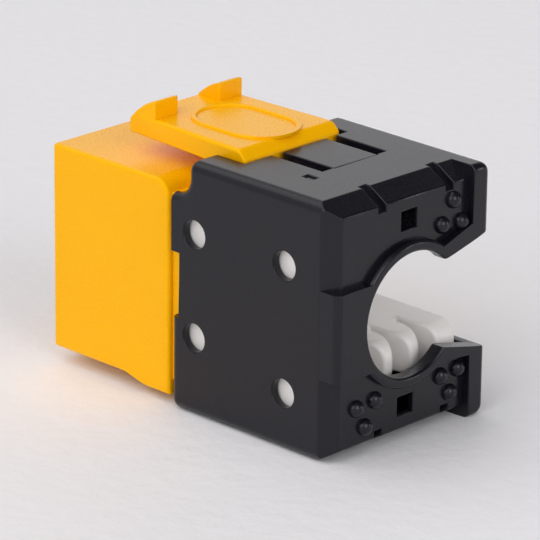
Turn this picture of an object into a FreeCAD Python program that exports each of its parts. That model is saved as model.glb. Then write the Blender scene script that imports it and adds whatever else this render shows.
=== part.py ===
"""Keystone jack for twisted-pair cable, with a snap-on rear hood.

Millimetres, +Z up. The plug port opens towards -Y and the cable enters from +Y. The origin is at the
middle of the footprint, on the plane that the hood rests on.
"""

import os
import re

import FreeCAD, Part
import Sketcher

from FreeCAD import Placement, Rotation, Vector

# Every size that can be set by itself. Lengths are in millimetres, angles in degrees.
SIZES = {
    # overall
    "total_length": 29.0,
    # rear hood
    "hood_length": 16.3,
    "hood_width": 15.34,
    "hood_height": 19.0,
    "hood_side_wall": 0.7,
    "hood_roof_wall": 0.8,
    "hood_end_wall": 0.55,
    "hood_edge_round": 0.8,
    "bevel_edge_round": 0.28,
    "collar_round": 0.3,
    "collar_mouth_round": 0.22,
    "recess_depth": 0.6,
    "end_bevel_run": 1.6,
    "end_bevel_drop": 0.95,
    "side_bevel_run": 1.15,
    "side_bevel_inset": 0.9,
    "cable_hole_radius": 4.59,
    "collar_width": 0.8,
    "belt_half_height": 3.25,
    "rim_width": 1.67,
    "rim_corner_rise": 5.3,
    "rim_corner_fall": 4.6,
    "mouth_tip_inset": 4.35,
    "mouth_tip_half_height": 3.3,
    "mouth_flare": 1.05,
    "mouth_lip": 1.0,
    "mouth_lip_slant": 0.3,
    "side_slot_length": 11.9,
    "roof_setback": 1.65,
    "cheek_shoulder_drop": 2.75,
    "cheek_round": 1.5,
    "notch_depth": 0.78,
    "notch_below": 2.5,
    "notch_above": 2.4,
    "latch_bay_width": 10.3,
    "latch_bay_depth": 11.5,
    "side_hole_radius": 1.07,
    "hole_front_back": 14.0,
    "hole_rear_back": 5.2,
    "hole_front_low": 5.94,
    "hole_rear_low": 4.24,
    "hole_high_drop": 5.33,
    "key_hole_width": 1.6,
    "key_hole_height": 1.4,
    "key_hole_edge": 2.62,
    "bump_radius": 0.64,
    "bump_rise": 0.58,
    "groove_width": 0.78,
    "groove_depth": 0.35,
    "near_groove_offset": 2.75,
    "far_groove_offset": 4.1,
    "roof_rib_back": 1.5,
    "roof_rib_thickness": 0.7,
    "roof_rib_margin": 2.4,
    "roof_rib_drop": 1.2,
    "roof_pit_back": 6.3,
    "roof_pit_offset": 4.0,
    "roof_pit_width": 0.6,
    "roof_pit_length": 1.0,
    "roof_pit_depth": 0.15,
    # snap tongue in the hood's roof
    "tongue_offset": -0.75,
    "tongue_width": 4.4,
    "tongue_length": 4.9,
    "tongue_slot": 1.05,
    "tongue_lip": 0.45,
    "hinge_clearance": 0.05,
    # jack housing
    "body_side_step": 0.42,
    "body_top_drop": 2.2,
    "body_bottom": 1.1,
    "shoulder_gap": 0.6,
    "foot_length": 4.0,
    "foot_drop": 0.5,
    "foot_ramp": 2.0,
    "body_round": 0.3,
    "shoulder_round": 1.6,
    "neck_side_gap": 0.1,
    "neck_bottom_gap": 0.9,
    "neck_top_gap": 2.3,
    "neck_length": 1.4,
    "port_width": 11.9,
    "port_height": 6.9,
    "port_rear_wall": 1.0,
    "clip_way_width": 6.3,
    "clip_way_depth": 1.6,
    "clip_step_width": 4.1,
    "clip_step_depth": 1.3,
    "front_lead_in": 0.5,
    # contact carrier and spring contacts
    "carrier_front": 2.2,
    "carrier_inset": 0.25,
    "carrier_height": 2.5,
    "carrier_roof": 1.5,
    "carrier_gap": 0.05,
    "contact_pitch": 1.02,
    "contact_width": 0.46,
    "contact_thickness": 0.32,
    "contact_pivot_back": 3.9,
    "contact_end_gap": 1.9,
    "contact_drop": 3.5,
    "contact_bead_radius": 0.26,
    "lead_rise": 0.3,
    "lead_groove_gap": 0.06,
    # circuit board and blade block
    "neck_side_wall": 1.17,
    "board_bottom_margin": 0.7,
    "board_top_margin": 0.5,
    "board_thickness": 1.0,
    "board_gap": 0.1,
    "block_length": 3.4,
    "block_margin": 0.1,
    # blades
    "blade_edge_margin": 0.7,
    "blade_width": 1.9,
    "blade_thickness": 0.4,
    "blade_tip_gap": 0.4,
    "blade_tip_bevel": 0.3,
    "blade_mouth_depth": 0.6,
    "blade_slot_width": 0.36,
    "blade_slot_length": 2.6,
    "blade_low_rise": 0.65,
    "blade_high_rise": 1.2,
    "blade_gap": 0.08,
    # wire manager
    "manager_side_gap": 0.07,
    "manager_front_gap": 0.15,
    "manager_bottom_gap": 0.4,
    "manager_top_gap": 1.2,
    "manager_block_gap": 0.12,
    "manager_pocket_gap": 0.25,
    "manager_web": 1.0,
    "wire_slot_width": 0.6,
    "wire_slot_flare": 0.6,
    "wire_slot_flare_length": 2.0,
    "lower_finger_rise": 5.55,
    "lower_finger_height": 3.0,
    "upper_finger_height": 3.6,
    "upper_tip_back": 4.0,
    "side_plate_width": 0.7,
    "side_plate_drop": 1.0,
    "lower_plate_drop": 1.55,
    "finger_length": 3.4,
    "finger_tip_back": 2.2,
    "finger_tip_round": 1.4,
    "finger_under_round": 0.9,
    # panel latch
    "latch_length": 12.1,
    "latch_gap": 0.3,
    "latch_top_rise": 0.7,
    "latch_front_width": 8.7,
    "latch_rear_width": 9.7,
    "latch_front_thickness": 1.5,
    "latch_rear_thickness": 1.7,
    "latch_rear_slope": 0.75,
    "latch_nose": 0.45,
    "latch_edge_round": 0.3,
    "ear_width": 2.3,
    "ear_length": 2.6,
    "ear_rise": 1.35,
    "latch_root_width": 7.0,
    "latch_root_thickness": 0.42,
    "latch_root_inset": 0.7,
    "latch_bead_radius": 0.35,
    "latch_bead_depth": 0.2,
    "latch_shelf_gap": 0.7,
    "latch_shelf_thickness": 1.0,
    "latch_shelf_width": 8.0,
    "latch_shelf_margin": 0.75,
    "thumb_ring_radius": 2.9,
    "thumb_ring_stretch": 3.0,
    "thumb_ring_width": 0.45,
    "thumb_ring_rise": 0.18,
}

# Places that several pieces share, worked out from the sizes.
REAR = "(total_length / 2)"
FRONT = "(-total_length / 2)"
RECESS = f"({REAR} - recess_depth)"
HOOD_FRONT = f"({REAR} - hood_length)"
HOOD_INSIDE_END = f"({RECESS} - hood_end_wall)"
HOOD_INSIDE_HALF = "(hood_width / 2 - hood_side_wall)"
ROOF_FRONT = f"({HOOD_FRONT} + roof_setback)"
HOLE_MIDDLE = "(hood_height / 2)"
COLLAR = "(cable_hole_radius + collar_width)"
BAY_REAR = f"({REAR} - latch_bay_depth)"
SHOULDER = f"({HOOD_FRONT} - shoulder_gap)"
NECK_REAR = f"({SHOULDER} + neck_length)"
NECK_HALF = f"({HOOD_INSIDE_HALF} - neck_side_gap)"
NECK_BOTTOM = "(hood_roof_wall + neck_bottom_gap)"
NECK_TOP = "(hood_height - hood_roof_wall - neck_top_gap)"
BODY_HALF = "(hood_width / 2 - body_side_step)"
BODY_TOP = "(hood_height - body_top_drop)"
BOARD_REAR = f"({NECK_REAR} - board_gap)"
BOARD_FRONT = f"({BOARD_REAR} - board_thickness)"
BOARD_HALF = f"({NECK_HALF} - neck_side_wall - board_gap)"
BOARD_BOTTOM = f"({NECK_BOTTOM} + board_bottom_margin)"
BOARD_TOP = f"({NECK_TOP} - board_top_margin)"
BLOCK_REAR = f"({BOARD_REAR} + block_length)"
BLOCK_HALF = f"({BOARD_HALF} + block_margin)"
PORT_REAR = f"({BOARD_FRONT} - port_rear_wall)"
PORT_TOP = f"({BODY_TOP} - carrier_roof - carrier_height)"
PORT_FLOOR = f"({PORT_TOP} - port_height)"
CARRIER_FRONT = f"({FRONT} + carrier_front)"
CARRIER_HALF = "(port_width / 2 - carrier_inset)"
PIVOT_Y = f"({FRONT} + contact_pivot_back)"
PIVOT_Z = f"({PORT_TOP} + contact_thickness / 2 + lead_groove_gap)"
LEAD_Z = f"({PIVOT_Z} + lead_rise)"
MANAGER_HALF = f"({HOOD_INSIDE_HALF} - manager_side_gap)"
MANAGER_FRONT = f"({NECK_REAR} + manager_front_gap)"
MANAGER_POCKET_REAR = f"({BLOCK_REAR} + manager_pocket_gap)"
MANAGER_WEB_REAR = f"({MANAGER_POCKET_REAR} + manager_web)"
MANAGER_FLOOR = "(hood_roof_wall + manager_bottom_gap)"
FINGER_TOP = f"({MANAGER_FLOOR} + lower_finger_rise)"
FINGER_BOTTOM = f"({FINGER_TOP} - lower_finger_height)"
FINGER_TIP = f"({REAR} - finger_tip_back)"
UPPER_FINGER_TOP = "(hood_height - hood_roof_wall - manager_top_gap)"
UPPER_FINGER_BOTTOM = f"({UPPER_FINGER_TOP} - upper_finger_height)"
UPPER_TIP = f"({REAR} - upper_tip_back)"
LOWER_PLATE_REAR = f"({REAR} - hole_rear_back + 1.5 * side_hole_radius)"
BLADE_TIP = f"({FINGER_TIP} - finger_length - blade_tip_gap)"
BLADE_PITCH = f"((2 * {BLOCK_HALF} - blade_width - 2 * blade_edge_margin) / 3)"
BLADE_LOW = f"({FINGER_BOTTOM} + blade_low_rise)"
BLADE_HIGH = f"({UPPER_FINGER_BOTTOM} + blade_high_rise)"
LATCH_REAR = f"({BAY_REAR} - latch_gap)"
LATCH_FRONT = f"({LATCH_REAR} - latch_length)"
LATCH_TOP = "(hood_height + latch_top_rise)"
LATCH_REAR_UNDER = f"({LATCH_TOP} - latch_rear_thickness)"
SHELF_TOP = f"({LATCH_REAR_UNDER} - latch_shelf_gap)"
SHELF_BOTTOM = f"({SHELF_TOP} - latch_shelf_thickness)"
EAR_REAR = f"({LATCH_FRONT} + ear_length)"
LATCH_PIVOT_Y = f"({LATCH_REAR} - latch_root_inset)"
LATCH_PIVOT_Z = f"({SHELF_TOP} - latch_bead_depth)"
SHELF_REAR = f"({LATCH_PIVOT_Y} + latch_shelf_margin)"
TONGUE_ROOT = f"({BAY_REAR} + tongue_length)"
TONGUE_Z = "(hood_height - hood_roof_wall / 2)"

CONTACTS = 8
BLADES_PER_ROW = 4

# Domed marks on the hood's end: a side and how far in from it, an edge and how far in from that.
MARKS = (
    ("far", 3.21, "upper", 2.24), ("far", 4.34, "upper", 3.84), ("far", 2.37, "upper", 4.02),
    ("near", 2.58, "lower", 3.72), ("near", 4.45, "lower", 3.87), ("near", 3.48, "lower", 2.12),
    ("far", 2.37, "lower", 3.95), ("far", 4.13, "lower", 3.81), ("far", 3.13, "lower", 2.31),
)

ALONG = {
    "X": Rotation(Vector(0, 0, 1), Vector(1, 0, 0)),
    "Y": Rotation(Vector(0, 0, 1), Vector(0, 1, 0)),
    "Z": Rotation(),
}

doc = FreeCAD.newDocument("keystone_jack")
sheet = doc.addObject("Spreadsheet::Sheet", "Sizes")
for row, (size_name, size) in enumerate(SIZES.items(), start=1):
    sheet.set(f"A{row}", size_name)
    sheet.set(f"B{row}", str(size))
    sheet.setAlias(f"B{row}", size_name)
doc.recompute()

bodies = []


def formula(text):
    """Write the sheet's name before each size in a formula."""
    return re.sub(r"[a-z_]+", lambda word: "Sizes." + word[0] if word[0] in SIZES else word[0], str(text))


def value(text):
    """Work out a formula from the sheet."""
    return float(sheet.evalExpression(formula(text)))


def bind(item, **formulas):
    """Bind properties of an object to formulas on the sheet."""
    for name, text in formulas.items():
        item.setExpression(name, formula(text))


def place(item, x, y, z, turn=None):
    """Bind an object's position to formulas, after giving it a fixed turn."""
    item.Placement = Placement(Vector(), turn or Rotation())
    for name, text in zip("xyz", (x, y, z)):
        item.setExpression(f"Placement.Base.{name}", formula(text))


def new_body(name):
    """Start a sub-part of its own."""
    body = doc.addObject("PartDesign::Body", name)
    body.Label = name
    body.AllowCompound = True
    bodies.append(body)
    return body


def box(body, name, x, y, z, cut=False):
    """Add or cut a block between pairs of formulas along X, Y and Z."""
    kind = "PartDesign::SubtractiveBox" if cut else "PartDesign::AdditiveBox"
    item = body.newObject(kind, name)
    place(item, x[0], y[0], z[0])
    bind(
        item,
        Length=f"({x[1]}) - ({x[0]})",
        Width=f"({y[1]}) - ({y[0]})",
        Height=f"({z[1]}) - ({z[0]})",
    )
    return item


def rod(body, name, start, along, radius, length, cut=False):
    """Add or cut a cylinder from a start point along an axis."""
    kind = "PartDesign::SubtractiveCylinder" if cut else "PartDesign::AdditiveCylinder"
    item = body.newObject(kind, name)
    place(item, *start, turn=ALONG[along])
    bind(item, Radius=radius, Height=length)
    return item


def dome(body, name, start, radius, rise):
    """Add a half ellipsoid that stands on a plane and points along +Y."""
    item = body.newObject("PartDesign::AdditiveEllipsoid", name)
    item.Angle1 = 0
    place(item, *start, turn=ALONG["Y"])
    bind(item, Radius1=rise, Radius2=radius, Radius3=radius)
    return item


def origin_plane(body, role):
    """Find one of a body's own origin planes."""
    return next(item for item in body.Origin.OriginFeatures if item.Role == role)


def outline(body, name, role, corners, offset="0"):
    """Draw a closed outline whose corners are pairs of formulas."""
    sketch = body.newObject("Sketcher::SketchObject", name)
    sketch.AttachmentSupport = [(origin_plane(body, role), "")]
    sketch.MapMode = "FlatFace"
    sketch.setExpression("AttachmentOffset.Base.z", formula(offset))
    points = [Vector(value(across), value(up), 0) for across, up in corners]
    count = len(points)
    for index in range(count):
        sketch.addGeometry(Part.LineSegment(points[index], points[(index + 1) % count]))
    for index in range(count):
        sketch.addConstraint(Sketcher.Constraint("Coincident", index, 2, (index + 1) % count, 1))
    for index, (across, up) in enumerate(corners):
        for kind, text, size in (("DistanceX", across, points[index].x), ("DistanceY", up, points[index].y)):
            number = sketch.addConstraint(Sketcher.Constraint(kind, -1, 1, index, 1, size))
            sketch.setExpression(f"Constraints[{number}]", formula(text))
    return sketch


def extrude(body, sketch, length, cut=False, both_ways=True):
    """Pad or pocket an outline, by default half to each side of its plane."""
    kind = "PartDesign::Pocket" if cut else "PartDesign::Pad"
    item = body.newObject(kind, sketch.Name + ("_cut" if cut else "_pad"))
    item.Profile = sketch
    item.Midplane = both_ways
    bind(item, Length=length)
    sketch.Visibility = False
    return item


def round_edges(body, name, radius, wanted):
    """Round those edges of a body whose middle point passes a test."""
    doc.recompute()
    base = body.Tip
    names = []
    for number, edge in enumerate(base.Shape.Edges, start=1):
        middle = edge.valueAt((edge.FirstParameter + edge.LastParameter) / 2)
        if wanted(edge, middle):
            names.append(f"Edge{number}")
    item = body.newObject("PartDesign::Fillet", name)
    item.Base = (base, names)
    bind(item, Radius=radius)
    return item


def runs_along(edge, direction):
    """Say whether an edge is straight and parallel to a direction."""
    if not isinstance(edge.Curve, Part.Line):
        return False
    return abs(abs(edge.tangentAt(edge.FirstParameter).dot(direction)) - 1) < 1e-6


def is_arc(edge, radius):
    """Say whether an edge is part of a circle with a radius."""
    return isinstance(edge.Curve, Part.Circle) and near(edge.Curve.Radius, radius)


def near(number, text):
    """Say whether a coordinate is where a formula puts it."""
    return abs(number - value(text)) < 1e-3


def make_hood():
    """The black hood: a box that is open at the front, with a C-shaped cable hole in its end wall."""
    hood = new_body("rear_hood")
    half = "hood_width / 2"
    box(hood, "hood_block", (f"-{half}", half), (HOOD_FRONT, RECESS), ("0", "hood_height"))
    round_edges(
        hood, "near_long_edges", "hood_edge_round",
        lambda edge, middle: runs_along(edge, Vector(0, 1, 0)) and middle.x > 0,
    )
    bevel_hood_end(hood)
    raise_hood_end(hood)
    cavity = outline(hood, "cavity", "YZ_Plane", [
        (f"{HOOD_FRONT} - 1", "hood_roof_wall"),
        (f"{HOOD_INSIDE_END} - end_bevel_run", "hood_roof_wall"),
        (HOOD_INSIDE_END, "hood_roof_wall + end_bevel_drop"),
        (HOOD_INSIDE_END, "hood_height - hood_roof_wall - end_bevel_drop"),
        (f"{HOOD_INSIDE_END} - end_bevel_run", "hood_height - hood_roof_wall"),
        (f"{HOOD_FRONT} - 1", "hood_height - hood_roof_wall"),
    ])
    extrude(hood, cavity, f"2 * {HOOD_INSIDE_HALF}", cut=True)
    shape_hood_front(hood)
    open_cable_hole(hood)
    open_hood_roof(hood)
    add_hood_details(hood)
    return hood


def bevel_hood_end(hood):
    """Bevel the end's upper, lower and near side edges, and round the bevels' own edges."""
    half = "hood_width / 2"
    for side, near_z, far_z in (
        ("upper", "hood_height - end_bevel_drop", "hood_height + 1"),
        ("lower", "end_bevel_drop", "-1"),
    ):
        slope = "end_bevel_run / end_bevel_drop"
        bevel = outline(hood, f"{side}_bevel", "YZ_Plane", [
            (RECESS, near_z),
            (f"{RECESS} - ({slope}) * (end_bevel_drop + 1)", far_z),
            (f"{RECESS} + 1", far_z),
            (f"{RECESS} + 1", near_z),
        ])
        extrude(hood, bevel, "2 * hood_width", cut=True)
    reach = "side_bevel_inset + 1"
    bevel = outline(hood, "side_bevel", "XY_Plane", [
        ("hood_width / 2 - side_bevel_inset", RECESS),
        (f"hood_width / 2 - side_bevel_inset + {reach}",
         f"{RECESS} - ({reach}) * side_bevel_run / side_bevel_inset"),
        (f"hood_width / 2 - side_bevel_inset + {reach}", f"{RECESS} + 1"),
        ("hood_width / 2 - side_bevel_inset", f"{RECESS} + 1"),
    ])
    extrude(hood, bevel, "3 * hood_height", cut=True)
    round_edges(
        hood, "bevel_edges", "bevel_edge_round",
        lambda edge, middle: middle.x > value("-hood_width / 2") + 0.01 and (
            near(middle.y, RECESS) and not near(middle.x, "-hood_width / 2")
            or near(middle.y, f"{RECESS} - end_bevel_run")
            or near(middle.y, f"{RECESS} - side_bevel_run") and near(middle.x, half)
        ),
    )


def raise_hood_end(hood):
    """Add what stands out of the end's recess: a collar, a belt and a rim on the open side."""
    half = "hood_width / 2"
    back = "side_bevel_run"
    rod(
        hood, "collar", ("0", f"{RECESS} - {back} / 4", HOLE_MIDDLE), "Y",
        COLLAR, f"recess_depth + {back} / 4",
    )
    box(
        hood, "belt", ("0", half), (f"{RECESS} - {back}", REAR),
        (f"{HOLE_MIDDLE} - belt_half_height", f"{HOLE_MIDDLE} + belt_half_height"),
    )
    box(
        hood, "rim", (f"-{half}", f"-{half} + rim_width"),
        (f"{RECESS} - end_bevel_run - bevel_edge_round", REAR), ("0", "hood_height"),
    )
    for side, sign, corner in (("upper", "+", "rim_corner_rise"), ("lower", "-", "rim_corner_fall")):
        lip = outline(hood, f"{side}_lip", "XZ_Plane", [
            (f"-{half} + rim_width / 2", f"{HOLE_MIDDLE} {sign} mouth_tip_half_height"),
            (f"-{half} + mouth_tip_inset", f"{HOLE_MIDDLE} {sign} mouth_tip_half_height"),
            (f"-{half} + mouth_tip_inset + mouth_lip_slant",
             f"{HOLE_MIDDLE} {sign} (mouth_tip_half_height + mouth_lip)"),
            (f"-{half} + rim_width", f"{HOLE_MIDDLE} {sign} {corner}"),
            (f"-{half} + rim_width / 2", f"{HOLE_MIDDLE} {sign} {corner}"),
        ], offset=f"-({REAR})")
        extrude(hood, lip, "recess_depth", both_ways=False)
    round_edges(
        hood, "far_long_edges", "hood_edge_round",
        lambda edge, middle: runs_along(edge, Vector(0, 1, 0)) and near(middle.x, "-hood_width / 2")
        and (near(middle.z, "0") or near(middle.z, "hood_height")),
    )
    round_edges(
        hood, "end_outer_edges", "0.65 * hood_edge_round",
        lambda edge, middle: near(middle.y, REAR) and (
            near(middle.x, "-hood_width / 2") or near(middle.x, "hood_width / 2")
            or (near(middle.z, "hood_height") or near(middle.z, "0")) and middle.x < 0
        ),
    )


def shape_hood_front(hood):
    """Cut the front outline: a roof set back behind two cheeks, and a notch between the cheeks' ears."""
    box(
        hood, "roof_cut", ("-hood_width", "hood_width"), (f"{HOOD_FRONT} - 1", ROOF_FRONT),
        ("hood_height - cheek_shoulder_drop", "hood_height + 1"), cut=True,
    )
    box(
        hood, "cheek_notch", ("-hood_width", "hood_width"),
        (f"{HOOD_FRONT} - 1", f"{HOOD_FRONT} + notch_depth"),
        (f"{HOLE_MIDDLE} - notch_below", f"{HOLE_MIDDLE} + notch_above"), cut=True,
    )
    round_edges(
        hood, "cheek_shoulders", "cheek_round",
        lambda edge, middle: runs_along(edge, Vector(1, 0, 0)) and near(middle.y, ROOF_FRONT)
        and near(middle.z, "hood_height - cheek_shoulder_drop"),
    )
    round_edges(
        hood, "front_edges", "0.75 * hood_roof_wall",
        lambda edge, middle: runs_along(edge, Vector(1, 0, 0)) and (
            near(middle.y, ROOF_FRONT) and near(middle.z, "hood_height")
            or near(middle.y, HOOD_FRONT) and near(middle.z, "0")
        ),
    )


def open_cable_hole(hood):
    """Cut the C-shaped cable hole, its flared mouth and the slot along the open side."""
    half = "hood_width / 2"
    rod(
        hood, "cable_hole", ("0", f"{HOOD_INSIDE_END} - 1", HOLE_MIDDLE), "Y",
        "cable_hole_radius", f"{REAR} - {HOOD_INSIDE_END} + 2", cut=True,
    )
    tip = "mouth_tip_half_height"
    wide = "(mouth_tip_half_height + mouth_flare * (mouth_tip_inset + 1) / mouth_tip_inset)"
    mouth = outline(hood, "mouth", "XZ_Plane", [
        ("0", f"{HOLE_MIDDLE} - {tip}"),
        (f"-{half} + mouth_tip_inset", f"{HOLE_MIDDLE} - {tip}"),
        (f"-{half} - 1", f"{HOLE_MIDDLE} - {wide}"),
        (f"-{half} - 1", f"{HOLE_MIDDLE} + {wide}"),
        (f"-{half} + mouth_tip_inset", f"{HOLE_MIDDLE} + {tip}"),
        ("0", f"{HOLE_MIDDLE} + {tip}"),
    ], offset=f"-({REAR} + 1)")
    pocket = extrude(hood, mouth, "recess_depth + hood_end_wall + 2", cut=True, both_ways=False)
    pocket.Reversed = True
    box(
        hood, "side_slot", (f"-{half} - 1", f"-{HOOD_INSIDE_HALF} + 0.5"),
        (f"{REAR} - side_slot_length", HOOD_INSIDE_END),
        (f"{HOLE_MIDDLE} - mouth_tip_half_height - mouth_flare",
         f"{HOLE_MIDDLE} + mouth_tip_half_height + mouth_flare"), cut=True,
    )
    round_edges(
        hood, "collar_outer_edge", "collar_round",
        lambda edge, middle: near(middle.y, REAR) and is_arc(edge, COLLAR),
    )
    round_edges(
        hood, "collar_inner_edge", "collar_mouth_round",
        lambda edge, middle: near(middle.y, REAR) and is_arc(edge, "cable_hole_radius"),
    )


def open_hood_roof(hood):
    """Cut the bay for the panel latch and the gaps round the snap tongue."""
    box(
        hood, "latch_bay", ("-latch_bay_width / 2", "latch_bay_width / 2"),
        (f"{HOOD_FRONT} - 1", BAY_REAR), ("hood_height - 2 * hood_roof_wall", "hood_height + 1"), cut=True,
    )
    box(
        hood, "tongue_bay",
        ("tongue_offset - tongue_width / 2 - tongue_slot", "tongue_offset + tongue_width / 2 + tongue_slot"),
        (f"{BAY_REAR} - 1", TONGUE_ROOT),
        ("hood_height - 2 * hood_roof_wall", "hood_height + 1"), cut=True,
    )
    rod(
        hood, "tongue_root_groove",
        ("tongue_offset - tongue_width / 2 - hinge_clearance", TONGUE_ROOT, TONGUE_Z), "X",
        "hood_roof_wall / 2 + hinge_clearance", "tongue_width + 2 * hinge_clearance", cut=True,
    )


def add_hood_details(hood):
    """Side holes, key holes, grooves over the bevels and the domed marks on the end."""
    places = [
        ("front_high", "-hood_width", "hole_front_back", "hood_height - hole_high_drop"),
        ("front_low", "-hood_width", "hole_front_back", "hole_front_low"),
        ("rear_high", "0", "hole_rear_back", "hood_height - hole_high_drop"),
        ("rear_low", "0", "hole_rear_back", "hole_rear_low"),
    ]
    for name, start, back, height in places:
        rod(
            hood, f"side_hole_{name}", (start, f"{REAR} - {back}", height), "X",
            "side_hole_radius", "2 * hood_width", cut=True,
        )
    for name, middle in (("upper", "hood_height - key_hole_edge"), ("lower", "key_hole_edge")):
        box(
            hood, f"{name}_key_hole", ("-key_hole_width / 2", "key_hole_width / 2"),
            (f"{HOOD_INSIDE_END} - 0.5", f"{REAR} + 1"),
            (f"{middle} - key_hole_height / 2", f"{middle} + key_hole_height / 2"), cut=True,
        )
    rib_half = "(key_hole_width / 2 + roof_rib_margin)"
    box(
        hood, "roof_rib", (f"-{rib_half}", rib_half),
        (f"{HOOD_INSIDE_END} - roof_rib_back - roof_rib_thickness", f"{HOOD_INSIDE_END} - roof_rib_back"),
        ("hood_height - key_hole_edge - key_hole_height / 2 - roof_rib_drop",
         "hood_height - hood_roof_wall / 2"),
    )
    box(
        hood, "roof_pit", ("roof_pit_offset - roof_pit_width / 2", "roof_pit_offset + roof_pit_width / 2"),
        (f"{REAR} - roof_pit_back - roof_pit_length / 2", f"{REAR} - roof_pit_back + roof_pit_length / 2"),
        ("hood_height - roof_pit_depth", "hood_height + 1"), cut=True,
    )
    add_end_grooves(hood)
    for number, (side, inset, edge, drop) in enumerate(MARKS, start=1):
        across = f"hood_width / 2 - {inset}" if side == "near" else f"{inset} - hood_width / 2"
        height = f"hood_height - {drop}" if edge == "upper" else str(drop)
        dome(hood, f"bump_{number}", (across, RECESS, height), "bump_radius", "bump_rise")


def add_end_grooves(hood):
    """Cut two short grooves over each bevel of the end."""
    for number, middle in enumerate(("near_groove_offset", "-far_groove_offset"), start=1):
        for name, edge, sign in (("upper", "hood_height", "-"), ("lower", "0", "+")):
            slope = "end_bevel_run / end_bevel_drop"
            cut_name = f"{name}_groove_{number}"
            profile = outline(hood, cut_name, "YZ_Plane", [
                (f"{RECESS} - ({slope}) * (end_bevel_drop + 0.2)", f"{edge} {sign} (-0.2)"),
                (f"{RECESS} - ({slope}) * (end_bevel_drop + 0.2) - groove_depth", f"{edge} {sign} (-0.2)"),
                (f"{RECESS} - groove_depth", f"{edge} {sign} (end_bevel_drop + 0.5)"),
                (f"{RECESS} + 0.2", f"{edge} {sign} (end_bevel_drop + 0.5)"),
                (f"{RECESS} + 0.2", f"{edge} {sign} (-0.2)"),
            ], offset=middle)
            extrude(hood, profile, "groove_width", cut=True)


def make_tongue():
    """The snap tongue in the hood's roof, hinged along its rounded root."""
    tongue = new_body("hood_snap_tongue")
    low, high = "tongue_offset - tongue_width / 2", "tongue_offset + tongue_width / 2"
    box(tongue, "tongue_plate", (low, high), (BAY_REAR, TONGUE_ROOT),
        ("hood_height - hood_roof_wall", "hood_height"))
    rod(tongue, "tongue_root", (low, TONGUE_ROOT, TONGUE_Z), "X", "hood_roof_wall / 2", "tongue_width")
    box(tongue, "tongue_lip_bar", (low, high), (BAY_REAR, f"{BAY_REAR} + hood_roof_wall"),
        ("hood_height - hood_roof_wall - tongue_lip", "hood_height - hood_roof_wall"))
    return tongue


def make_housing():
    """The yellow housing with the plug port, the shoulder foot and the neck that the hood slides over."""
    housing = new_body("jack_housing")
    half = BODY_HALF
    box(housing, "body_block", (f"-{half}", half), (FRONT, SHOULDER), ("body_bottom", BODY_TOP))
    foot = outline(housing, "foot", "YZ_Plane", [
        (f"{SHOULDER} - foot_length", "body_bottom"),
        (f"{SHOULDER} - foot_length + foot_ramp", "body_bottom - foot_drop"),
        (SHOULDER, "body_bottom - foot_drop"),
        (SHOULDER, "body_bottom + 1"),
        (f"{SHOULDER} - foot_length", "body_bottom + 1"),
    ])
    extrude(housing, foot, f"2 * {half}")
    round_edges(
        housing, "shoulder_top", "shoulder_round",
        lambda edge, middle: near(middle.y, SHOULDER) and near(middle.z, BODY_TOP),
    )
    round_edges(
        housing, "body_long_edges", "body_round",
        lambda edge, middle: runs_along(edge, Vector(0, 1, 0)) and abs(middle.x) > value(half) - 1e-3
        or near(middle.y, FRONT)
        or near(middle.y, SHOULDER) and abs(middle.x) > value(half) - 1e-3,
    )
    box(housing, "neck", (f"-{NECK_HALF}", NECK_HALF), (f"{SHOULDER} - shoulder_round - 0.4", NECK_REAR),
        (NECK_BOTTOM, NECK_TOP))
    shelf = ("-latch_shelf_width / 2", "latch_shelf_width / 2")
    box(housing, "latch_shelf", shelf, (f"{SHOULDER} - 0.5", SHELF_REAR), (SHELF_BOTTOM, SHELF_TOP))
    box(housing, "latch_shelf_root", shelf, (f"{SHOULDER} - 0.5", NECK_REAR), (f"{NECK_TOP} - 0.5", SHELF_TOP))
    cut_port(housing)
    cut_inner_spaces(housing)
    return housing


def cut_port(housing):
    """Cut the plug port with the stepped way for the plug's clip, and bevel its mouth."""
    deep = (f"{FRONT} - 1", PORT_REAR)
    box(housing, "port", ("-port_width / 2", "port_width / 2"), deep, (PORT_FLOOR, PORT_TOP), cut=True)
    box(housing, "clip_way", ("-clip_way_width / 2", "clip_way_width / 2"), deep,
        (f"{PORT_FLOOR} - clip_way_depth", f"{PORT_FLOOR} + 1"), cut=True)
    box(housing, "clip_step", ("-clip_step_width / 2", "clip_step_width / 2"), deep,
        (f"{PORT_FLOOR} - clip_way_depth - clip_step_depth", PORT_FLOOR), cut=True)
    for name, sign in (("left", "-"), ("right", "")):
        side = f"{sign}port_width / 2"
        lead_in = outline(housing, f"{name}_lead_in", "XY_Plane", [
            (side, f"{FRONT} - 0.1"), (side, f"{FRONT} + front_lead_in"),
            (f"{sign}(port_width / 2 + front_lead_in + 0.1)", f"{FRONT} - 0.1"),
        ], offset=PORT_FLOOR)
        extrude(housing, lead_in, "port_height", cut=True, both_ways=False).Reversed = True


def cut_inner_spaces(housing):
    """Cut the spaces for the contact carrier and the circuit board, and the latch's root groove."""
    half = f"({CARRIER_HALF} + carrier_gap)"
    box(housing, "carrier_bay", (f"-{half}", half), (CARRIER_FRONT, f"{BOARD_FRONT} + 0.5"),
        (f"{PORT_TOP} - 0.5", f"{PORT_TOP} + carrier_height + carrier_gap"), cut=True)
    half = f"({BOARD_HALF} + board_gap)"
    box(housing, "board_bay", (f"-{half}", half), (BOARD_FRONT, f"{NECK_REAR} + 1"),
        (f"{BOARD_BOTTOM} - board_gap", f"{BOARD_TOP} + board_gap"), cut=True)
    reach = "latch_root_width / 2 + 0.2"
    rod(housing, "latch_root_groove", (f"-({reach})", LATCH_PIVOT_Y, LATCH_PIVOT_Z), "X",
        "latch_bead_radius + hinge_clearance", f"2 * ({reach})", cut=True)


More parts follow.
